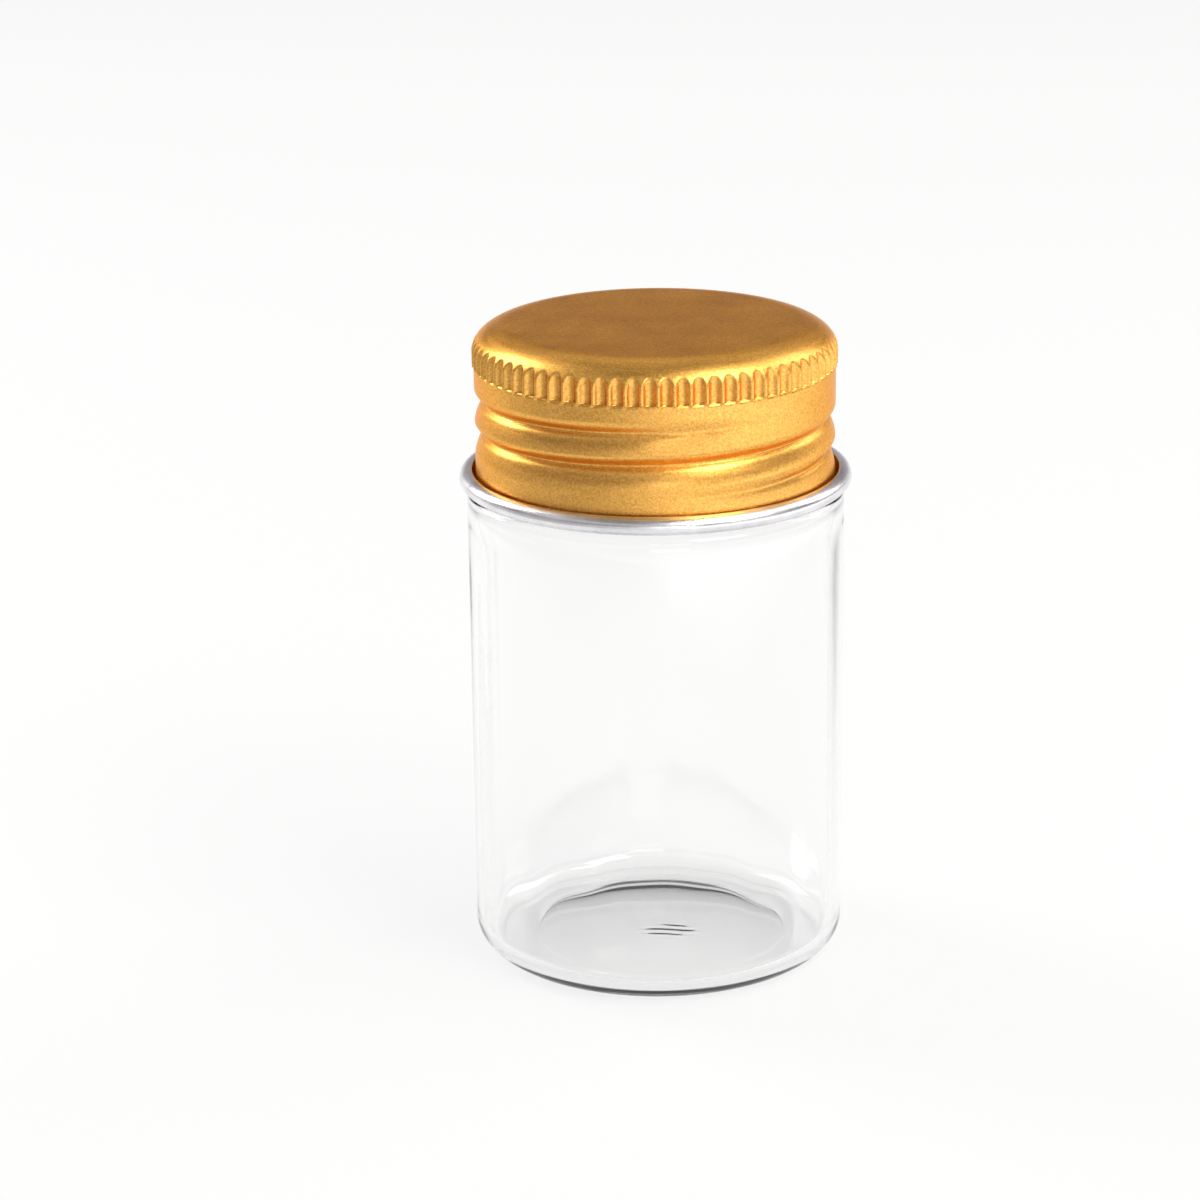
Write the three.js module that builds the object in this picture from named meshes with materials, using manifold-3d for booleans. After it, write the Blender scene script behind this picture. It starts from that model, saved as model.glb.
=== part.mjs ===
// A small screw-capped sample vial: a clear glass tube vial, a rolled aluminium screw cap, and the soft
// liner that the glass rim seals against. Millimetres, +Z up. The origin is the centre of the standing
// face, and the front of the vial faces -Y. Angles are in radians, from the front towards +X.

import * as THREE from 'three';
import { mergeGeometries, mergeVertices } from 'three/addons/utils/BufferGeometryUtils.js';
import Module from 'manifold-3d';

// Glass vial
const BODY_DIAMETER = 30.0;
const VIAL_HEIGHT = 50.0; // standing face to rim
const WALL = 1.1;
const BASE_THICKNESS = 0.9; // at the foot
const BASE_PUSH_UP = 0.5; // rise of the base's underside, from the standing ring to its centre
const FLOOR_RISE = 0.28; // rise of the floor inside
const HEEL_RADIUS = 2.2;
const INNER_HEEL_RADIUS = 1.6;
const FOOT_WIDTH = 2.8; // flat ring that it stands on
const SHOULDER_RADIUS = 0.8;
const SHOULDER_WALL = 0.7;
const ROOF_REACH = 0.4; // inside, where the wall turns in under the shoulder
const ROOF_DROP = 2.4;
const NECK_FILLET = 0.8;
const NECK_STEP = 1.5; // body's outside to thread crest
const NECK_WALL = 1.45; // bore to thread root
const RIM_ROUND = 0.35;
const RIDGE_HEIGHT = 0.75; // glass thread, root to crest
const RIDGE_HALF_WIDTH = 0.75;
const RIDGE_START_DROP = 1.85; // rim to the middle of the ridge's start
const RIDGE_END_RISE = 4.35; // shoulder to the middle of the ridge's end

// Screw cap
const SHEET = 0.28;
const CAP_HEIGHT = 13.05;
const THREAD_CLEARANCE = 0.49; // glass crest to the cap's smooth inside
const CROWN_WIDTH = 3.2; // rounded edge between the flat top and the knurl
const CROWN_DROP = 2.08;
const KNURL_RISE = 0.13; // knurl crests over the skirt
const KNURL_LEDGE_DROP = 3.2; // cap top to the ledge under the knurl
const FLUTE_COUNT = 72;
const FLUTE_DEPTH = 0.42;
const FLUTE_RADIUS = 0.5;
const CURL_WIDTH = 1.6; // skirt's inside to the curl's outside
const CURL_HEIGHT = 1.4;
const LIP_ANGLE = THREE.MathUtils.degToRad(465); // where the curled sheet ends, counted from the curl's +X
const SHOULDER_CLEARANCE = 0.15; // curl to the glass shoulder

// Thread, shared by the cap and the neck. It is right-handed and has one start.
const THREAD_PITCH = 2.6;
const GROOVE_DEPTH = 0.85;
const GROOVE_UPPER_WIDTH = 0.95; // from the groove's bottom up to the smooth wall
const GROOVE_LEDGE_WIDTH = 0.4; // steep part below the groove's bottom
const GROOVE_SLOPE_WIDTH = 1.5; // gentle part below the ledge
const GROOVE_LEDGE_SHARE = 0.5; // depth left at the foot of the ledge
const GROOVE_START_DROP = 1.86; // knurl ledge to the groove's start
const GROOVE_END_RISE = 1.03; // curl's top to the groove's end
const GROOVE_START_ANGLE = THREE.MathUtils.degToRad(40);
const RUN_IN_TURNS = 0.22;
const RUN_OUT_TURNS = 0.33;
const RIDGE_RUN_TURNS = 0.15;
const RIDGE_LIFT = 0.85; // glass ridge above the cap's groove of the same turn

// Liner
const LINER_THICKNESS = 1.5;
const LINER_CLEARANCE = 0.35; // liner's edge to the inside of the crown

// Facets
const SEGMENTS = 48;
const ROWS_PER_PITCH = 5;
const ARC_STEPS = 3;
const CURL_STEPS = 4; // per half turn
const FLUTE_SIDES = 8;

// Places that follow from the sizes above
const bodyRadius = BODY_DIAMETER / 2;
const crestRadius = bodyRadius - NECK_STEP;
const rootRadius = crestRadius - RIDGE_HEIGHT;
const boreRadius = rootRadius - NECK_WALL;
const skirtInside = crestRadius + THREAD_CLEARANCE;
const skirtRadius = skirtInside + SHEET;
const knurlRadius = skirtRadius + KNURL_RISE;
const crownFlat = knurlRadius - CROWN_WIDTH;
const knurlInside = knurlRadius - FLUTE_DEPTH - SHEET;
const capTop = VIAL_HEIGHT + LINER_THICKNESS + SHEET;
const crownHeight = capTop - CROWN_DROP;
const crownInsideX = knurlInside - crownFlat;
const crownInsideY = CROWN_DROP - SHEET;
const ledgeHeight = capTop - KNURL_LEDGE_DROP;
const curlCentre = new THREE.Vector2(skirtInside + CURL_WIDTH / 2, capTop - CAP_HEIGHT + CURL_HEIGHT / 2);
const curlTop = curlCentre.y + CURL_HEIGHT / 2;
const shoulderTop = capTop - CAP_HEIGHT - SHOULDER_CLEARANCE;
const grooveTop = ledgeHeight - GROOVE_START_DROP;
const grooveTurns = (grooveTop - curlTop - GROOVE_END_RISE) / THREAD_PITCH;
const ridgeStart = (grooveTop + RIDGE_LIFT - VIAL_HEIGHT + RIDGE_START_DROP) / THREAD_PITCH;
const ridgeEnd = (grooveTop + RIDGE_LIFT - shoulderTop - RIDGE_END_RISE) / THREAD_PITCH;

const TURN = 2 * Math.PI;

const manifold = await Module();
manifold.setup();

function point(radius, height) {
  return new THREE.Vector2(radius, height);
}

// Points on an elliptical arc. Angles run from the profile's +X (outward) towards its +Y (up).
function arc(centreX, centreY, radiusX, radiusY, from, to, steps) {
  const points = [];
  for (let i = 0; i <= steps; i++) {
    const angle = from + ((to - from) * i) / steps;
    points.push(point(centreX + radiusX * Math.cos(angle), centreY + radiusY * Math.sin(angle)));
  }
  return points;
}

function roundArc(centreX, centreY, radius, from, to) {
  return arc(centreX, centreY, radius, radius, from, to, ARC_STEPS);
}

// Evenly spaced points up or down a wall, each moved in or out by the thread as it goes round.
function threadedWall(radius, from, to, thread) {
  const rows = Math.round((Math.abs(to - from) / THREAD_PITCH) * ROWS_PER_PITCH);
  const points = [];
  for (let i = 0; i <= rows; i++) {
    const wallPoint = point(radius, from + ((to - from) * i) / rows);
    wallPoint.thread = thread;
    points.push(wallPoint);
  }
  return points;
}

function smoothStep(value) {
  return THREE.MathUtils.smoothstep(value, 0, 1);
}

// Turns along the helix at this angle, at or after `first`, clockwise seen from above.
function helixTurn(angle, first) {
  const turn = (GROOVE_START_ANGLE - angle) / TURN;
  return turn + Math.ceil(first - turn);
}

// Share of the groove's depth at a height above (or below) its deepest line.
function grooveSection(height) {
  if (height >= 0) {
    return 1 - Math.sin((Math.PI / 2) * Math.min(1, height / GROOVE_UPPER_WIDTH));
  }
  if (-height < GROOVE_LEDGE_WIDTH) {
    return 1 - (1 - GROOVE_LEDGE_SHARE) * (-height / GROOVE_LEDGE_WIDTH);
  }
  const along = Math.min(1, (-height - GROOVE_LEDGE_WIDTH) / GROOVE_SLOPE_WIDTH);
  return GROOVE_LEDGE_SHARE * (1 - Math.sin((Math.PI / 2) * along));
}

// How far the cap's wall is rolled inward.
function capThread(angle, height) {
  let share = 0;
  for (let turn = helixTurn(angle, 0); turn < grooveTurns; turn++) {
    const runIn = smoothStep(turn / RUN_IN_TURNS);
    const runOut = smoothStep((grooveTurns - turn) / RUN_OUT_TURNS);
    const section = grooveSection(height - grooveTop + THREAD_PITCH * turn);
    share = Math.max(share, runIn * runOut * section);
  }
  return -GROOVE_DEPTH * share;
}

// How far the glass thread stands out of the neck.
function neckThread(angle, height) {
  let share = 0;
  for (let turn = helixTurn(angle, ridgeStart); turn < ridgeEnd; turn++) {
    const runIn = smoothStep((turn - ridgeStart) / RIDGE_RUN_TURNS);
    const runOut = smoothStep((ridgeEnd - turn) / RIDGE_RUN_TURNS);
    const across = (height - grooveTop - RIDGE_LIFT + THREAD_PITCH * turn) / RIDGE_HALF_WIDTH;
    const section = Math.abs(across) < 1 ? (1 + Math.cos(Math.PI * across)) / 2 : 0;
    share = Math.max(share, runIn * runOut * section);
  }
  return RIDGE_HEIGHT * share;
}

// Merges what coincides and drops the empty triangles on the axis.
function closed(geometry) {
  const bare = geometry.clone();
  bare.deleteAttribute('normal');
  bare.deleteAttribute('uv');
  const merged = mergeVertices(bare, 1e-5);
  const kept = [];
  for (let i = 0; i < merged.index.count; i += 3) {
    const corners = [0, 1, 2].map((corner) => merged.index.getX(i + corner));
    if (new Set(corners).size === 3) kept.push(...corners);
  }
  merged.setIndex(kept);
  return merged;
}

// Turns a profile about +Z. The profile runs from the axis round the outside and back to the axis.
function turned(profile) {
  const lathe = new THREE.LatheGeometry(profile, SEGMENTS);
  const position = lathe.attributes.position;
  for (let i = 0; i < position.count; i++) {
    const angle = (TURN * (Math.floor(i / profile.length) % SEGMENTS)) / SEGMENTS;
    const { x, y, thread } = profile[i % profile.length];
    const radius = x + (thread ? thread(angle, y) : 0);
    position.setXYZ(i, radius * Math.sin(angle), -radius * Math.cos(angle), y);
  }
  return closed(lathe);
}

function toSolid(geometry) {
  const mesh = new manifold.Mesh({
    numProp: 3,
    vertProperties: new Float32Array(geometry.attributes.position.array),
    triVerts: new Uint32Array(geometry.index.array),
  });
  return new manifold.Manifold(mesh);
}

function toGeometry(solid) {
  const mesh = solid.getMesh();
  const geometry = new THREE.BufferGeometry();
  geometry.setAttribute('position', new THREE.BufferAttribute(mesh.vertProperties, 3));
  geometry.setIndex(new THREE.BufferAttribute(mesh.triVerts, 1));
  return geometry;
}

function namedMesh(name, geometry, look) {
  geometry.computeVertexNormals();
  const mesh = new THREE.Mesh(geometry, new THREE.MeshStandardMaterial(look));
  mesh.name = name;
  return mesh;
}

// Underside of the base: a shallow push-up, the flat standing ring and the heel.
function baseOutside() {
  const footOutside = bodyRadius - HEEL_RADIUS;
  const footInside = footOutside - FOOT_WIDTH;
  return [
    ...arc(0, 0, footInside, BASE_PUSH_UP, Math.PI / 2, 0, ARC_STEPS),
    ...roundArc(footOutside, HEEL_RADIUS, HEEL_RADIUS, -Math.PI / 2, 0),
  ];
}

// Outside of the shoulder, the threaded neck and the rim.
function neckOutside() {
  const filletHeight = shoulderTop + NECK_FILLET;
  const rimHeight = VIAL_HEIGHT - RIM_ROUND;
  return [
    ...roundArc(bodyRadius - SHOULDER_RADIUS, shoulderTop - SHOULDER_RADIUS, SHOULDER_RADIUS, 0, Math.PI / 2),
    ...roundArc(rootRadius + NECK_FILLET, filletHeight, NECK_FILLET, -Math.PI / 2, -Math.PI),
    ...threadedWall(rootRadius, filletHeight + SHEET, rimHeight - SHEET, neckThread),
    ...roundArc(rootRadius - RIM_ROUND, rimHeight, RIM_ROUND, 0, Math.PI / 2),
  ];
}

// Bore, the roof under the shoulder, the inside wall and the inside of the base.
function vialInside() {
  const insideRadius = bodyRadius - WALL;
  const roof = shoulderTop - SHOULDER_WALL;
  const floorRadius = insideRadius - INNER_HEEL_RADIUS;
  return [
    ...roundArc(boreRadius + RIM_ROUND, VIAL_HEIGHT - RIM_ROUND, RIM_ROUND, Math.PI / 2, Math.PI),
    ...roundArc(boreRadius + NECK_FILLET, roof + NECK_FILLET, NECK_FILLET, Math.PI, 1.5 * Math.PI),
    ...arc(insideRadius - ROOF_REACH, roof - ROOF_DROP, ROOF_REACH, ROOF_DROP, Math.PI / 2, 0, 2 * ARC_STEPS),
    ...roundArc(floorRadius, BASE_THICKNESS + INNER_HEEL_RADIUS, INNER_HEEL_RADIUS, 0, -Math.PI / 2),
    ...arc(0, BASE_THICKNESS, floorRadius, FLOOR_RISE, 0, Math.PI / 2, ARC_STEPS).slice(1),
  ];
}

function glassVial() {
  const look = { color: 0xe8eeeb, roughness: 0.05, metalness: 0.0 };
  return namedMesh('glass_vial', turned([...baseOutside(), ...neckOutside(), ...vialInside()]), look);
}

// One face of the sheet where it curls outward and back up to its cut lip.
function curl(radiusX, radiusY) {
  return [
    ...arc(curlCentre.x, curlCentre.y, radiusX, radiusY, Math.PI, TURN, CURL_STEPS),
    ...arc(curlCentre.x, curlCentre.y, radiusX, radiusY, TURN, LIP_ANGLE, ARC_STEPS).slice(1),
  ];
}

// One cap as the sheet runs: up under the top, down inside the skirt, round the curl and up the outside.
function capSheet() {
  const insideLedge = ledgeHeight - SHEET;
  return [
    point(0, capTop - SHEET),
    ...arc(crownFlat, crownHeight, crownInsideX, crownInsideY, Math.PI / 2, 0, 2 * ARC_STEPS),
    point(knurlInside, insideLedge),
    ...threadedWall(skirtInside, insideLedge - SHEET, curlTop, capThread),
    ...curl(CURL_WIDTH / 2, CURL_HEIGHT / 2),
    ...curl(CURL_WIDTH / 2 - SHEET, CURL_HEIGHT / 2 - SHEET).reverse(),
    ...threadedWall(skirtRadius, curlTop, ledgeHeight - SHEET, capThread),
    point(skirtRadius, ledgeHeight),
    point(knurlRadius, ledgeHeight),
    ...arc(crownFlat, crownHeight, CROWN_WIDTH, CROWN_DROP, 0, Math.PI / 2, 2 * ARC_STEPS),
    point(0, capTop),
  ];
}

// The pressed pockets between the knurl's ribs. Each stands on the ledge and runs out into the crown.
function fluteCutters() {
  const length = capTop - ledgeHeight;
  const cutters = [];
  for (let i = 0; i < FLUTE_COUNT; i++) {
    const angle = (TURN * (i + 0.5)) / FLUTE_COUNT;
    const distance = knurlRadius - FLUTE_DEPTH + FLUTE_RADIUS;
    const cutter = new THREE.CylinderGeometry(FLUTE_RADIUS, FLUTE_RADIUS, length, FLUTE_SIDES);
    cutter.rotateX(Math.PI / 2);
    cutter.rotateZ(angle + Math.PI / FLUTE_SIDES);
    cutter.translate(distance * Math.sin(angle), -distance * Math.cos(angle), ledgeHeight + length / 2);
    cutters.push(closed(cutter));
  }
  return mergeGeometries(cutters);
}

function capShell() {
  const look = { color: 0xd9a441, roughness: 0.35, metalness: 0.9 };
  const fluted = toSolid(turned(capSheet())).subtract(toSolid(fluteCutters()));
  return namedMesh('cap_shell', toGeometry(fluted), look);
}

// A soft disc between the glass rim and the cap's top. Its upper edge follows the crown.
function sealingLiner() {
  const look = { color: 0xf4f3ee, roughness: 0.9, metalness: 0.0 };
  const lowest = Math.asin(Math.max(0, (VIAL_HEIGHT - crownHeight) / crownInsideY));
  const edgeX = crownFlat - LINER_CLEARANCE;
  const edge = arc(edgeX, crownHeight, crownInsideX, crownInsideY, lowest, Math.PI / 2, 2 * ARC_STEPS);
  const profile = [
    point(0, VIAL_HEIGHT),
    ...(crownHeight > VIAL_HEIGHT ? [point(edge[0].x, VIAL_HEIGHT)] : []),
    ...edge,
    point(0, VIAL_HEIGHT + LINER_THICKNESS),
  ];
  return namedMesh('sealing_liner', turned(profile), look);
}

const vial = new THREE.Group();
vial.add(glassVial(), capShell(), sealingLiner());

export default vial;
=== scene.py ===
import math

import bmesh
import bpy
from mathutils import Matrix, Vector


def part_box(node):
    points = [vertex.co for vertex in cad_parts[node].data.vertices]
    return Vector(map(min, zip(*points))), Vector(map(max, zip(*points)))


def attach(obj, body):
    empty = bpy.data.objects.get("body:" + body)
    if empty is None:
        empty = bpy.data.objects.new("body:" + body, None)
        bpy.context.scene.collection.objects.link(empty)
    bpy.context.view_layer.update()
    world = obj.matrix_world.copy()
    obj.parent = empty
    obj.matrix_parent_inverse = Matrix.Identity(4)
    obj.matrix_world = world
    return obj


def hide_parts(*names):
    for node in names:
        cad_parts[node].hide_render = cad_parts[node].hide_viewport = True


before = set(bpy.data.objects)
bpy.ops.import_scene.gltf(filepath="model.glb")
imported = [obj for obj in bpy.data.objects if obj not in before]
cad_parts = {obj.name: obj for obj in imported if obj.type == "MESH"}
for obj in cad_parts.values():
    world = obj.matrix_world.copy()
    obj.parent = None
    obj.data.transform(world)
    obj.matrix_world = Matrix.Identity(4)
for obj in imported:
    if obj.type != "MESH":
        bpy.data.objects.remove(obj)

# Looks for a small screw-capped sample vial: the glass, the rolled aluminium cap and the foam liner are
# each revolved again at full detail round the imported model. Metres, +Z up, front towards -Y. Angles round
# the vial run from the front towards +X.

MM = 0.001
TURN = 2 * math.pi

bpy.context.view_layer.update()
glass_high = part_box("glass_vial")[1]
cap_low, cap_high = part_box("cap_shell")
liner_low, liner_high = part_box("sealing_liner")

# Glass vial
WALL = 1.1 * MM
BASE_THICKNESS = 0.9 * MM
BASE_PUSH_UP = 0.5 * MM
FLOOR_RISE = 0.28 * MM
HEEL_RADIUS = 2.2 * MM
INNER_HEEL_RADIUS = 1.6 * MM
FOOT_WIDTH = 2.8 * MM
SHOULDER_RADIUS = 0.8 * MM
SHOULDER_WALL = 0.7 * MM
ROOF_REACH = 0.4 * MM
ROOF_DROP = 2.4 * MM
NECK_FILLET = 0.8 * MM
NECK_STEP = 1.5 * MM
NECK_WALL = 1.45 * MM
RIM_ROUND = 0.35 * MM
RIDGE_HEIGHT = 0.75 * MM
RIDGE_HALF_WIDTH = 0.75 * MM
RIDGE_START_DROP = 1.85 * MM
RIDGE_END_RISE = 4.35 * MM
DOME_POWER = 0.85  # how square the shoulders of the base's domes are: 0.5 is an ellipse, 1 a parabola
MARK_PLACE = (0.9, -1.6)  # where the tube was pinched off: a small rippled mark near the base's middle, mm
MARK_REACH = (3.0, 1.8)
MARK_RIPPLE = 1.1  # from one ripple to the next, mm
MARK_BEND = 0.25  # how far the ripples wander, mm
MARK_DEPTH = 0.07 * MM
WALL_WAVE = 0.05 * MM  # how unevenly the tube was drawn
WALL_SLANT = 6  # radians that the waves turn in a metre of height

# Screw cap
SHEET = 0.28 * MM
THREAD_CLEARANCE = 0.49 * MM
CROWN_WIDTH = 3.2 * MM
CROWN_DROP = 2.08 * MM
KNURL_RISE = 0.13 * MM
KNURL_LEDGE_DROP = 3.2 * MM
FLUTE_COUNT = 72
FLUTE_DEPTH = 0.42 * MM
FLUTE_RADIUS = 0.5 * MM
PRESSED_ROUND = 0.09 * MM  # rounding where a pocket meets its ribs
CURL_WIDTH = 1.6 * MM
CURL_HEIGHT = 1.4 * MM
LIP_ANGLE = 465
SHOULDER_CLEARANCE = 0.15 * MM

# Thread of the cap and the neck, right-handed
THREAD_PITCH = 2.6 * MM
GROOVE_DEPTH = 0.85 * MM
GROOVE_UPPER_WIDTH = 0.95 * MM
GROOVE_LEDGE_WIDTH = 0.4 * MM
GROOVE_SLOPE_WIDTH = 1.5 * MM
GROOVE_LEDGE_SHARE = 0.5
GROOVE_ROUND = 0.12 * MM  # half the height over which the groove's corners are rounded
GROOVE_START_DROP = 1.86 * MM
GROOVE_END_RISE = 1.03 * MM
GROOVE_START_ANGLE = math.radians(40)
RUN_IN_TURNS = 0.22
RUN_OUT_TURNS = 0.33
RIDGE_RUN_TURNS = 0.15
RIDGE_LIFT = 0.85 * MM

# Liner
LINER_CLEARANCE = 0.35 * MM
RIM_PRINT = 0.12 * MM  # how deep the rim has pressed into the foam
LINER_ROUND = 0.15 * MM

# Detail of the meshes
GLASS_COLUMNS = 240
CAP_COLUMNS = 288
KNURL_COLUMNS = 14 * FLUTE_COUNT
FINE_ROW = 0.11 * MM
COARSE_ROW = 0.22 * MM
PLAIN_ROW = 3 * MM
MARK_ROW = 0.13 * MM
DOME_ROW = 0.5 * MM
DOME_EDGE_ROW = 0.04 * MM
POCKETS_TOP = 46  # degrees up the crown where the pockets have run out

# Places that follow
body_radius = glass_high.x
vial_height = glass_high.z
crest_radius = body_radius - NECK_STEP
root_radius = crest_radius - RIDGE_HEIGHT
bore_radius = root_radius - NECK_WALL
skirt_inside = crest_radius + THREAD_CLEARANCE
skirt_radius = skirt_inside + SHEET
knurl_radius = skirt_radius + KNURL_RISE
crown_flat = knurl_radius - CROWN_WIDTH
knurl_inside = knurl_radius - FLUTE_DEPTH - SHEET
cap_top = cap_high.z
crown_height = cap_top - CROWN_DROP
ledge_height = cap_top - KNURL_LEDGE_DROP
curl_radius = skirt_inside + CURL_WIDTH / 2
curl_height = cap_low.z + CURL_HEIGHT / 2
curl_top = curl_height + CURL_HEIGHT / 2
shoulder_top = cap_low.z - SHOULDER_CLEARANCE
groove_top = ledge_height - GROOVE_START_DROP
groove_turns = (groove_top - curl_top - GROOVE_END_RISE) / THREAD_PITCH
ridge_start = (groove_top + RIDGE_LIFT - vial_height + RIDGE_START_DROP) / THREAD_PITCH
ridge_end = (groove_top + RIDGE_LIFT - shoulder_top - RIDGE_END_RISE) / THREAD_PITCH


# ---------------------------------------------------------------- shapes

class Ring:
    """A closed ring of points about +Z. push(angle, height) moves a point outward, and lift(x, y) moves it
    up. zone is its material."""

    def __init__(self, radius, height, columns, push=None, zone=0, lift=None):
        self.radius = radius
        self.height = height
        self.columns = columns if radius > 0 else 1
        self.push = push
        self.zone = zone
        self.lift = lift

    def points(self):
        for column in range(self.columns):
            angle = TURN * column / self.columns
            radius = self.radius + (self.push(angle, self.height) if self.push else 0)
            x, y = radius * math.sin(angle), -radius * math.cos(angle)
            yield x, y, self.height + (self.lift(x, y) if self.lift else 0)


def arc(centre_radius, centre_height, radius_x, radius_y, start, end, steps):
    """(radius, height) points on an elliptical arc. Degrees run from outward towards up."""
    places = []
    for step in range(steps + 1):
        angle = math.radians(start + (end - start) * step / steps)
        radius = centre_radius + radius_x * math.cos(angle)
        places.append((radius, centre_height + radius_y * math.sin(angle)))
    return places


def round_arc(centre_radius, centre_height, radius, start, end, steps):
    return arc(centre_radius, centre_height, radius, radius, start, end, steps)


def wall(radius, start, end, row):
    """Evenly spaced points up or down a straight wall."""
    rows = max(1, round(abs(end - start) / row))
    return [(radius, start + (end - start) * i / rows) for i in range(rows + 1)]


def rings(places, columns, push=None, zone=0):
    return [Ring(radius, height, columns, push, zone) for radius, height in places]


def bridge(first, second, first_start, second_start):
    """Faces between two rings. The finer ring's columns are shared out among the coarser one's."""
    many, few = first.columns, second.columns
    many_start, few_start = first_start, second_start
    if few > many:
        many, few = few, many
        many_start, few_start = few_start, many_start
    faces = []
    for column in range(many):
        here = many_start + column
        after = many_start + (column + 1) % many
        if many == few:
            faces.append((here, after, few_start + (column + 1) % few, few_start + column))
            continue
        near = round((column + 0.5) * few / many)
        near_after = round((column + 1.5) * few / many)
        faces.append((here, after, few_start + near % few))
        if near_after % few != near % few:
            faces.append((after, few_start + near_after % few, few_start + near % few))
    return faces


def revolve(name, all_rings, materials):
    """A closed, smooth mesh through these rings, which start and end on the axis."""
    vertices, faces, zones, starts = [], [], [], []
    for ring in all_rings:
        starts.append(len(vertices))
        vertices.extend(ring.points())
    for i in range(len(all_rings) - 1):
        made = bridge(all_rings[i], all_rings[i + 1], starts[i], starts[i + 1])
        faces.extend(made)
        zones.extend([all_rings[i + 1].zone] * len(made))
    mesh = bpy.data.meshes.new(name)
    mesh.from_pydata(vertices, [], faces)
    for material in materials:
        mesh.materials.append(material)
    mesh.polygons.foreach_set("material_index", zones)
    solid = bmesh.new()
    solid.from_mesh(mesh)
    bmesh.ops.recalc_face_normals(solid, faces=solid.faces)
    solid.to_mesh(mesh)
    solid.free()
    mesh.shade_smooth()
    piece = bpy.data.objects.new(name, mesh)
    bpy.context.scene.collection.objects.link(piece)
    return piece


# ---------------------------------------------------------------- thread

def smooth_step(value):
    value = max(0.0, min(1.0, value))
    return value * value * (3 - 2 * value)


def helix_turn(angle, first):
    """Turns along the helix at this angle, at or after `first`, clockwise seen from above."""
    turn = (GROOVE_START_ANGLE - angle) / TURN
    return turn + math.ceil(first - turn)


def groove_section(height):
    """Share of the groove's depth at a height above (or below) its deepest line."""
    if height >= 0:
        return 1 - math.sin(math.pi / 2 * min(1, height / GROOVE_UPPER_WIDTH))
    if -height < GROOVE_LEDGE_WIDTH:
        return 1 - (1 - GROOVE_LEDGE_SHARE) * -height / GROOVE_LEDGE_WIDTH
    along = min(1, (-height - GROOVE_LEDGE_WIDTH) / GROOVE_SLOPE_WIDTH)
    return GROOVE_LEDGE_SHARE * (1 - math.sin(math.pi / 2 * along))


def rounded_section(height):
    """The groove's section with its corners rounded as rolled sheet is."""
    return sum(groove_section(height + GROOVE_ROUND * k / 2) for k in range(-2, 3)) / 5


def cap_thread(angle, height):
    """How far the cap's wall is rolled inward, as a negative push."""
    share = 0
    turn = helix_turn(angle, 0)
    while turn < groove_turns:
        fade = smooth_step(turn / RUN_IN_TURNS) * smooth_step((groove_turns - turn) / RUN_OUT_TURNS)
        share = max(share, fade * rounded_section(height - groove_top + THREAD_PITCH * turn))
        turn += 1
    return -GROOVE_DEPTH * share


def neck_thread(angle, height):
    """How far the glass thread stands out of the neck."""
    share = 0
    turn = helix_turn(angle, ridge_start)
    while turn < ridge_end:
        fade = smooth_step((turn - ridge_start) / RIDGE_RUN_TURNS)
        fade *= smooth_step((ridge_end - turn) / RIDGE_RUN_TURNS)
        across = (height - groove_top - RIDGE_LIFT + THREAD_PITCH * turn) / RIDGE_HALF_WIDTH
        if abs(across) < 1:
            share = max(share, fade * (1 + math.cos(math.pi * across)) / 2)
        turn += 1
    return RIDGE_HEIGHT * share


# ---------------------------------------------------------------- glass

def drawn_unevenly(angle, height):
    """The slight waves that a drawn glass tube has inside, which run almost straight along it."""
    broad = math.cos(4 * angle)
    middling = 0.5 * math.sin(7 * angle + 1.3 - WALL_SLANT * height)
    narrow = 0.35 * math.sin(17 * angle + 0.4)
    return WALL_WAVE * (broad + middling + narrow)


def base_mark(x, y):
    """The rippled mark near the middle of the base, as a rise."""
    sideways = (x / MM - MARK_PLACE[0]) / MARK_REACH[0]
    backwards = (y / MM - MARK_PLACE[1]) / MARK_REACH[1]
    away = sideways * sideways + backwards * backwards
    if away >= 1:
        return 0
    place = backwards * MARK_REACH[1] + MARK_BEND * math.sin(2.3 * sideways)
    return MARK_DEPTH * (1 - away) ** 2 * math.cos(TURN * place / MARK_RIPPLE)


def pushed_up(edge_radius, edge_height, rise):
    """A shallow dome from its edge to the axis. Its rows are closer together by the edge and the mark."""
    places = []
    mark_reach = (max(MARK_REACH) + math.hypot(*MARK_PLACE)) * MM
    radius = edge_radius
    while radius > 0.1 * MM:
        share = min(1, radius / edge_radius)
        places.append((radius, edge_height + rise * (1 - share * share) ** DOME_POWER))
        if radius > mark_reach:
            radius -= min(max(DOME_EDGE_ROW, 0.25 * (edge_radius - radius)), DOME_ROW)
        else:
            radius -= MARK_ROW
    places.append((0, edge_height + rise))
    return places


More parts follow.
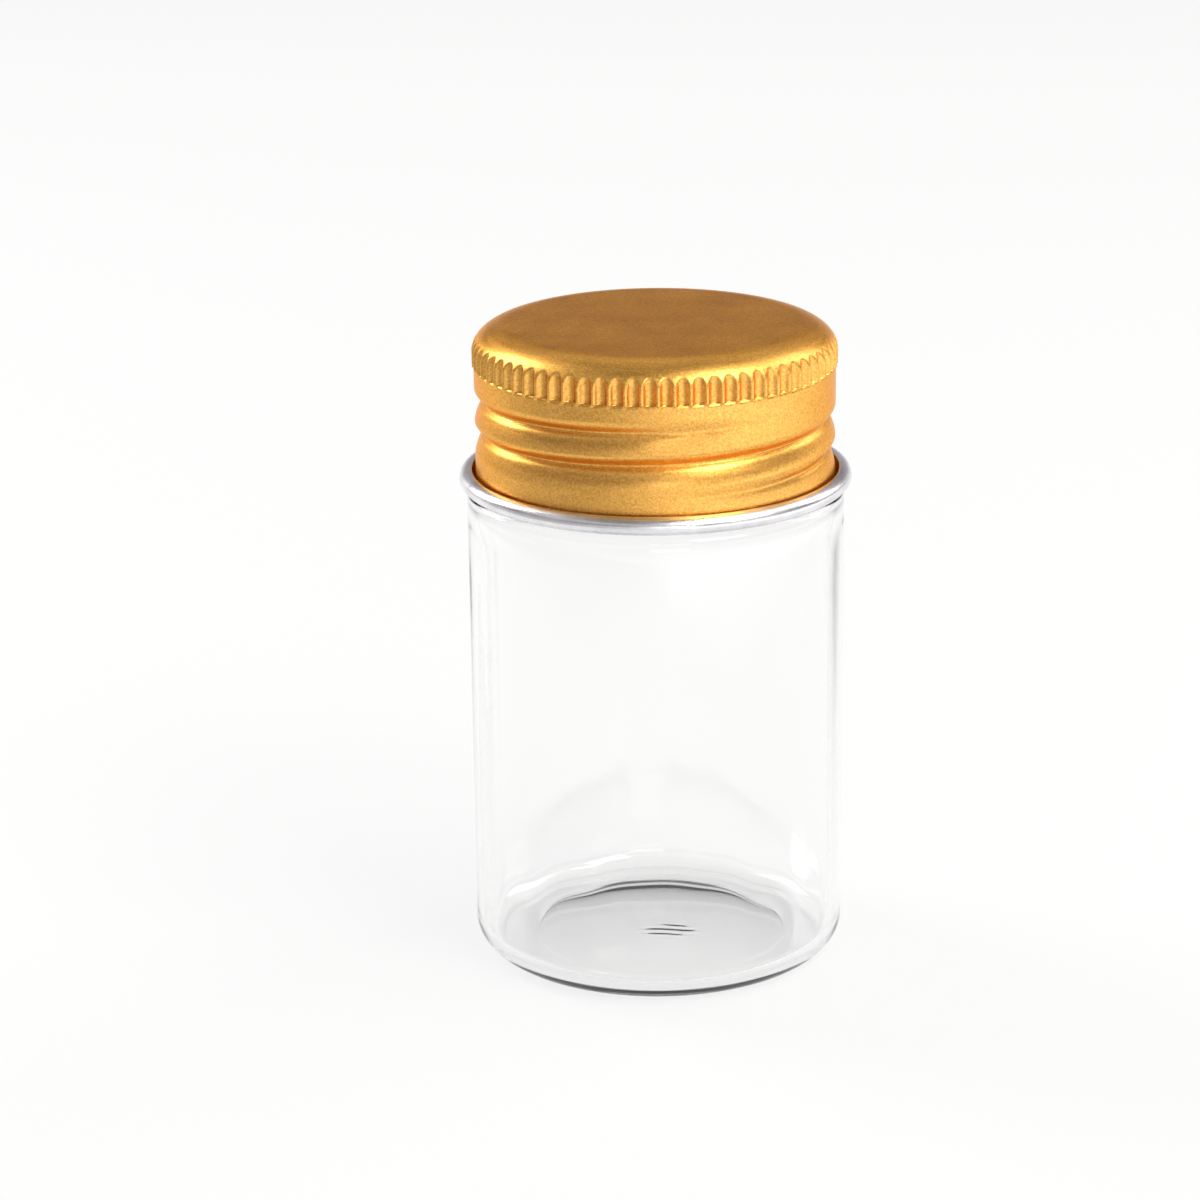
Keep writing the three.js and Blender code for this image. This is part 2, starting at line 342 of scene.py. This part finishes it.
def glass_rings():
    """The vial's section: out under the base, up the outside, over the rim and down inside to the floor."""
    heel = body_radius - HEEL_RADIUS
    foot = heel - FOOT_WIDTH
    inside = body_radius - WALL
    floor = inside - INNER_HEEL_RADIUS
    roof = shoulder_top - SHOULDER_WALL
    fillet = shoulder_top + NECK_FILLET
    rim = vial_height - RIM_ROUND
    underside = list(reversed(pushed_up(foot, 0, BASE_PUSH_UP)))
    lower = round_arc(heel, HEEL_RADIUS, HEEL_RADIUS, -90, 0, 14)
    shoulder = body_radius - SHOULDER_RADIUS
    upper = round_arc(shoulder, shoulder_top - SHOULDER_RADIUS, SHOULDER_RADIUS, 0, 90, 12)
    neck_foot = round_arc(root_radius + NECK_FILLET, fillet, NECK_FILLET, -90, -180, 8)
    neck = wall(root_radius, fillet + SHEET, rim - SHEET, COARSE_ROW)
    rim_outside = round_arc(root_radius - RIM_ROUND, rim, RIM_ROUND, 0, 90, 8)
    rim_inside = round_arc(bore_radius + RIM_ROUND, rim, RIM_ROUND, 90, 180, 8)
    bore_foot = round_arc(bore_radius + NECK_FILLET, roof + NECK_FILLET, NECK_FILLET, 180, 270, 8)
    roof_edge = arc(inside - ROOF_REACH, roof - ROOF_DROP, ROOF_REACH, ROOF_DROP, 90, 0, 20)
    wall_foot = BASE_THICKNESS + 1.5 * INNER_HEEL_RADIUS
    inner_wall = wall(inside, roof - 1.5 * ROOF_DROP, wall_foot, PLAIN_ROW)
    inner_heel = round_arc(floor, BASE_THICKNESS + INNER_HEEL_RADIUS, INNER_HEEL_RADIUS, 0, -90, 14)
    return (
        [Ring(radius, height, GLASS_COLUMNS, None, 0, base_mark) for radius, height in underside]
        + rings(lower + upper + neck_foot, GLASS_COLUMNS)
        + rings(neck, GLASS_COLUMNS, neck_thread)
        + rings(rim_outside + rim_inside + bore_foot + roof_edge, GLASS_COLUMNS)
        + rings(inner_wall, GLASS_COLUMNS, drawn_unevenly)
        + rings(inner_heel + pushed_up(floor, BASE_THICKNESS, FLOOR_RISE)[1:], GLASS_COLUMNS)
    )


# ---------------------------------------------------------------- cap

def pocket(angle):
    """Radius of the pressed pockets' floor at this angle, or None on a rib."""
    step = TURN / FLUTE_COUNT
    offset = ((angle / step) % 1 - 0.5) * step
    distance = knurl_radius - FLUTE_DEPTH + FLUTE_RADIUS
    across = distance * math.sin(offset)
    if abs(across) >= FLUTE_RADIUS:
        return None
    return distance * math.cos(offset) - math.sqrt(FLUTE_RADIUS ** 2 - across ** 2)


def pressed(radius):
    """A push that presses the pockets into a wall of this radius, with rounded edges."""
    def push(angle, height):
        floor = pocket(angle)
        if floor is None or floor > radius + PRESSED_ROUND:
            return 0
        blend = max(0.0, min(1.0, 0.5 + (radius - floor) / (2 * PRESSED_ROUND)))
        return (floor - radius) * blend - PRESSED_ROUND * blend * (1 - blend)
    return push


GOLD, BARE = 0, 1


def knurl_rings():
    """The fluted band and the rounded crown, from the ledge up to the axis."""
    places = wall(knurl_radius, ledge_height, crown_height, FINE_ROW)
    places += arc(crown_flat, crown_height, CROWN_WIDTH, CROWN_DROP, 0, POCKETS_TOP, 20)[1:]
    fine = [Ring(radius, height, KNURL_COLUMNS, pressed(radius), GOLD) for radius, height in places]
    places = arc(crown_flat, crown_height, CROWN_WIDTH, CROWN_DROP, POCKETS_TOP + 2, 90, 12)
    places += [(crown_flat * share, cap_top) for share in (0.75, 0.5, 0.25, 0)]
    return fine + rings(places, CAP_COLUMNS, None, GOLD)


def curl(radius_x, radius_y, steps):
    return arc(curl_radius, curl_height, radius_x, radius_y, 180, LIP_ANGLE, steps)


def cap_rings():
    """The cap as its sheet runs: under the top, down inside, round the curl and up the outside."""
    inside_ledge = ledge_height - SHEET
    under_top = arc(crown_flat, crown_height, knurl_inside - crown_flat, CROWN_DROP - SHEET, 90, 0, 12)
    inner_wall = wall(skirt_inside, inside_ledge - SHEET, curl_top, COARSE_ROW)
    outer_wall = wall(skirt_radius, curl_top, ledge_height - SHEET, FINE_ROW)
    inner_curl = list(reversed(curl(CURL_WIDTH / 2 - SHEET, CURL_HEIGHT / 2 - SHEET, 16)))
    return (
        rings([(0, cap_top - SHEET)] + under_top + [(knurl_inside, inside_ledge)], CAP_COLUMNS, None, BARE)
        + rings(inner_wall, CAP_COLUMNS, cap_thread, BARE)
        + rings(curl(CURL_WIDTH / 2, CURL_HEIGHT / 2, 30), CAP_COLUMNS, None, BARE)
        + rings(inner_curl[:1], CAP_COLUMNS, None, BARE)
        + rings(inner_curl[1:], CAP_COLUMNS, None, GOLD)
        + rings(outer_wall, CAP_COLUMNS, cap_thread, GOLD)
        + rings([(skirt_radius, ledge_height)], CAP_COLUMNS, None, GOLD)
        + knurl_rings()
    )


# ---------------------------------------------------------------- liner

def liner_rings():
    """The foam disc: a print of the rim below, and an upper edge that follows the crown."""
    rim_middle = (root_radius + bore_radius) / 2
    half = NECK_WALL / 2
    crown_x = knurl_inside - crown_flat
    crown_y = CROWN_DROP - SHEET
    low = math.degrees(math.asin((liner_low.z - crown_height) / crown_y))
    edge = arc(crown_flat - LINER_CLEARANCE, crown_height, crown_x, crown_y, low, 90, 14)
    bottom = [(0, liner_low.z)]
    bottom += [(rim_middle * share, liner_low.z) for share in (0.3, 0.6, 0.85)]
    for step in range(17):
        across = -1 + step / 8
        print_depth = RIM_PRINT * (1 + math.cos(math.pi * across)) / 2
        bottom.append((rim_middle + half * across, liner_low.z + print_depth))
    bottom += [(edge[0][0] - LINER_ROUND, liner_low.z)]
    top = [(edge[-1][0] * share, liner_high.z) for share in (0.6, 0.3, 0)]
    return rings(bottom + edge + top, CAP_COLUMNS)


# ---------------------------------------------------------------- materials

def shader(name, **values):
    """A material with one Principled shader and these values on its own sockets."""
    material = bpy.data.materials.new(name)
    material.use_nodes = True
    tree = material.node_tree
    principled = tree.nodes["Principled BSDF"]
    for socket, value in values.items():
        principled.inputs[socket.replace("_", " ")].default_value = value
    return material, tree, principled


def coordinates(tree, stretch=(1, 1, 1)):
    """The piece's own coordinates, stretched."""
    source = tree.nodes.new("ShaderNodeTexCoord")
    mapping = tree.nodes.new("ShaderNodeMapping")
    mapping.inputs["Scale"].default_value = stretch
    tree.links.new(source.outputs["Object"], mapping.inputs["Vector"])
    return mapping.outputs["Vector"]


def distance_along(tree, kind, direction):
    """How far a kind of coordinates lies in this direction."""
    source = tree.nodes.new("ShaderNodeTexCoord")
    node = tree.nodes.new("ShaderNodeVectorMath")
    node.operation = "DOT_PRODUCT"
    node.inputs[1].default_value = Vector(direction).normalized()
    tree.links.new(source.outputs[kind], node.inputs[0])
    return node.outputs["Value"]


def noise(tree, size, detail=2.0, stretch=(1, 1, 1)):
    """Noise with features of this size in metres."""
    node = tree.nodes.new("ShaderNodeTexNoise")
    node.inputs["Scale"].default_value = 1 / size
    node.inputs["Detail"].default_value = detail
    tree.links.new(coordinates(tree, stretch), node.inputs["Vector"])
    return node.outputs["Fac"]


def ramp(tree, value, stops):
    """A colour ramp: stops are (position, colour)."""
    node = tree.nodes.new("ShaderNodeValToRGB")
    elements = node.color_ramp.elements
    while len(elements) < len(stops):
        elements.new(0.5)
    for element, (position, colour) in zip(elements, stops):
        element.position = position
        element.color = (*colour, 1)
    tree.links.new(value, node.inputs["Fac"])
    return node.outputs["Color"]


def spread(tree, value, low, high, start=0.3, end=0.7):
    """Maps a value from start..end, which by default is where noise mostly is, to low..high."""
    node = tree.nodes.new("ShaderNodeMapRange")
    node.inputs["From Min"].default_value = start
    node.inputs["From Max"].default_value = end
    node.inputs["To Min"].default_value = low
    node.inputs["To Max"].default_value = high
    tree.links.new(value, node.inputs["Value"])
    return node.outputs["Result"]


def bump(tree, height, distance, normal=None, strength=1.0):
    node = tree.nodes.new("ShaderNodeBump")
    node.inputs["Strength"].default_value = strength
    node.inputs["Distance"].default_value = distance
    tree.links.new(height, node.inputs["Height"])
    if normal is not None:
        tree.links.new(normal, node.inputs["Normal"])
    return node.outputs["Normal"]


def gold_lacquer():
    """Satin aluminium under a clear gold lacquer."""
    material, tree, principled = shader(
        "gold_lacquer", Metallic=1.0, IOR=1.5, Coat_Weight=0.4, Coat_Roughness=0.25, Coat_IOR=1.5,
        Specular_Tint=(0.95, 0.55, 0.20, 1),
    )
    grain = noise(tree, 0.16 * MM, 2.0)
    colour = ramp(tree, grain, [(0.3, (0.70, 0.32, 0.045)), (0.7, (1.0, 0.56, 0.13))])
    tree.links.new(colour, principled.inputs["Base Color"])
    drawn = noise(tree, 0.25 * MM, 2.0, (0.05, 0.05, 1))
    tree.links.new(spread(tree, drawn, 0.31, 0.41), principled.inputs["Roughness"])
    normal = bump(tree, drawn, 0.004 * MM)
    tree.links.new(bump(tree, grain, 0.014 * MM, normal), principled.inputs["Normal"])
    return material


def bare_aluminium():
    """The sheet's unlacquered side, which shows inside the cap and round the curl."""
    material, tree, principled = shader("bare_aluminium", Metallic=1.0, IOR=1.5)
    tone = noise(tree, 2 * MM, 3.0)
    colour = ramp(tree, tone, [(0.3, (0.70, 0.69, 0.71)), (0.7, (0.86, 0.85, 0.87))])
    tree.links.new(colour, principled.inputs["Base Color"])
    drawn = noise(tree, 0.2 * MM, 3.0, (0.04, 0.04, 1))
    grain = noise(tree, 0.15 * MM, 3.0)
    tree.links.new(spread(tree, drawn, 0.22, 0.36), principled.inputs["Roughness"])
    normal = bump(tree, drawn, 0.006 * MM)
    tree.links.new(bump(tree, grain, 0.010 * MM, normal), principled.inputs["Normal"])
    return material


def clear_glass():
    """Clear soda-lime glass with a faint green in its thickness, and slight waves in its surface."""
    material, tree, principled = shader(
        "clear_glass", Base_Color=(1, 1, 1, 1), Roughness=0.0, IOR=1.5, Transmission_Weight=1.0,
    )
    waves = noise(tree, 6 * MM, 1.0, (1, 1, 0.25))
    tree.links.new(bump(tree, waves, 0.01 * MM), principled.inputs["Normal"])
    tint = tree.nodes.new("ShaderNodeVolumeAbsorption")
    tint.inputs["Color"].default_value = (0.77, 0.79, 0.765, 1)
    tint.inputs["Density"].default_value = 55
    tree.links.new(tint.outputs["Volume"], tree.nodes["Material Output"].inputs["Volume"])
    return material


def white_foam():
    """Foamed polyethylene with small closed cells."""
    material, tree, principled = shader("white_foam", Roughness=0.8, Subsurface_Weight=0.2)
    principled.inputs["Subsurface Radius"].default_value = (0.4 * MM, 0.4 * MM, 0.4 * MM)
    tone = noise(tree, 1.5 * MM, 3.0)
    colour = ramp(tree, tone, [(0.3, (0.82, 0.82, 0.80)), (0.7, (0.90, 0.90, 0.88))])
    tree.links.new(colour, principled.inputs["Base Color"])
    cells = tree.nodes.new("ShaderNodeTexVoronoi")
    cells.inputs["Scale"].default_value = 1 / (0.3 * MM)
    tree.links.new(coordinates(tree), cells.inputs["Vector"])
    tree.links.new(bump(tree, cells.outputs["Distance"], 0.03 * MM), principled.inputs["Normal"])
    return material


# ---------------------------------------------------------------- stage

CAMERA_PLACE = Vector((-4.53, -271.2, 116.4)) * MM
CAMERA_PITCH = math.radians(17.89)
CAMERA_ROLL = math.radians(-0.711)
CAMERA_LENS = 106.26


def add_camera():
    camera = bpy.data.cameras.new("camera")
    camera.lens = CAMERA_LENS
    camera.sensor_width = 36
    camera.clip_start = 0.01
    camera.clip_end = 20
    forward = Vector((0, math.cos(CAMERA_PITCH), -math.sin(CAMERA_PITCH)))
    level = Vector((1, 0, 0))
    above = level.cross(forward)
    right = level * math.cos(CAMERA_ROLL) + above * math.sin(CAMERA_ROLL)
    up = above * math.cos(CAMERA_ROLL) - level * math.sin(CAMERA_ROLL)
    thing = bpy.data.objects.new("camera", camera)
    turned = Matrix((right, up, -forward)).transposed().to_4x4()
    thing.matrix_world = Matrix.Translation(CAMERA_PLACE) @ turned
    bpy.context.scene.collection.objects.link(thing)
    bpy.context.scene.camera = thing


def softbox(name, azimuth, elevation, distance, width, height, radiance, colour=(1, 1, 1)):
    """A soft light at an angle round the vial, counted from the front towards +X, turned towards the vial.
    """
    lamp = bpy.data.lights.new(name, "AREA")
    lamp.shape = "RECTANGLE"
    lamp.size = width
    lamp.size_y = height
    lamp.energy = radiance * math.pi * width * height
    lamp.color = colour
    around = math.radians(azimuth)
    above = math.radians(elevation)
    out = Vector((math.sin(around) * math.cos(above), -math.cos(around) * math.cos(above), math.sin(above)))
    thing = bpy.data.objects.new(name, lamp)
    thing.location = Vector((0, 0, vial_height / 2)) + out * distance
    thing.rotation_mode = "QUATERNION"
    thing.rotation_quaternion = out.to_track_quat("Z", "Y")
    thing.visible_camera = False
    bpy.context.scene.collection.objects.link(thing)


def add_floor():
    """A plain pale floor that glows. Away from the vial its glow is painted dimmer to the front left and
    brighter to
    the front right: painted shade and painted light, which the cap's wall reflects as its tones."""
    material, tree, principled = shader("floor", Roughness=0.7)
    principled.inputs["Emission Color"].default_value = (1, 1, 1, 1)
    principled.inputs["Base Color"].default_value = (0.12, 0.12, 0.12, 1)
    # Painted light: the floor's emission is lowered to the front left as painted shade and raised to the
    # front right as a painted bright patch, for the cap to reflect.
    painted_shade_left = spread(tree, distance_along(tree, "Object", (1, 1, 0)), 0.28, 0.81, -0.15, -0.085)
    painted_light_right = spread(tree, distance_along(tree, "Object", (1, -1, 0)), 0, 0.8, 0.10, 0.16)
    glow = tree.nodes.new("ShaderNodeMath")
    glow.operation = "ADD"
    tree.links.new(painted_shade_left, glow.inputs[0])
    tree.links.new(painted_light_right, glow.inputs[1])
    tree.links.new(glow.outputs["Value"], principled.inputs["Emission Strength"])
    mesh = bpy.data.meshes.new("floor")
    half = 4.0
    corners = [(-half, -half, 0), (half, -half, 0), (half, half, 0), (-half, half, 0)]
    mesh.from_pydata(corners, [], [(0, 1, 2, 3)])
    mesh.materials.append(material)
    thing = bpy.data.objects.new("floor", mesh)
    thing.location.z = -0.02 * MM
    bpy.context.scene.collection.objects.link(thing)


def add_surroundings():
    """A pale room: bright near the ground, dim and slightly pink above it, with a paler band higher up."""
    world = bpy.data.worlds.new("surroundings")
    world.use_nodes = True
    tree = world.node_tree
    stops = [
        (0.0, (0.84, 0.82, 0.82)),
        (0.08, (0.82, 0.80, 0.80)),
        (0.20, (0.19, 0.165, 0.185)),
        (0.42, (0.24, 0.21, 0.23)),
        (0.62, (0.80, 0.79, 0.77)),
        (0.80, (0.36, 0.35, 0.33)),
        (1.0, (0.22, 0.21, 0.20)),
    ]
    colour = ramp(tree, distance_along(tree, "Generated", (0, 0, 1)), stops)
    background = tree.nodes["Background"]
    tree.links.new(colour, background.inputs["Color"])
    background.inputs["Strength"].default_value = 1.0
    bpy.context.scene.world = world


def light_stage():
    """Azimuth and elevation, then distance, width, height and radiance."""
    softbox("key_light", 44, 46, 0.6, 0.28, 0.28, 8.0, (1, 0.98, 0.93))
    softbox("left_light", -124, 33, 0.6, 0.24, 0.36, 6.0)
    softbox("right_light", 122, 33, 0.6, 0.24, 0.36, 3.0)
    softbox("crown_light", 78, 62, 0.6, 0.20, 0.26, 5.0, (1, 0.98, 0.93))
    softbox("front_light", 8, 14, 0.6, 0.25, 0.08, 4.0)


# ---------------------------------------------------------------- the vial

add_camera()
add_floor()
add_surroundings()
light_stage()

glass = revolve("vial_glass", glass_rings(), [clear_glass()])
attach(glass, "vial")
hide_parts("glass_vial")

cap = revolve("screw_cap", cap_rings(), [gold_lacquer(), bare_aluminium()])
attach(cap, "cap")
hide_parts("cap_shell")

liner = revolve("foam_liner", liner_rings(), [white_foam()])
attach(liner, "liner")
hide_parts("sealing_liner")

bpy.context.scene.view_settings.view_transform = "Standard"
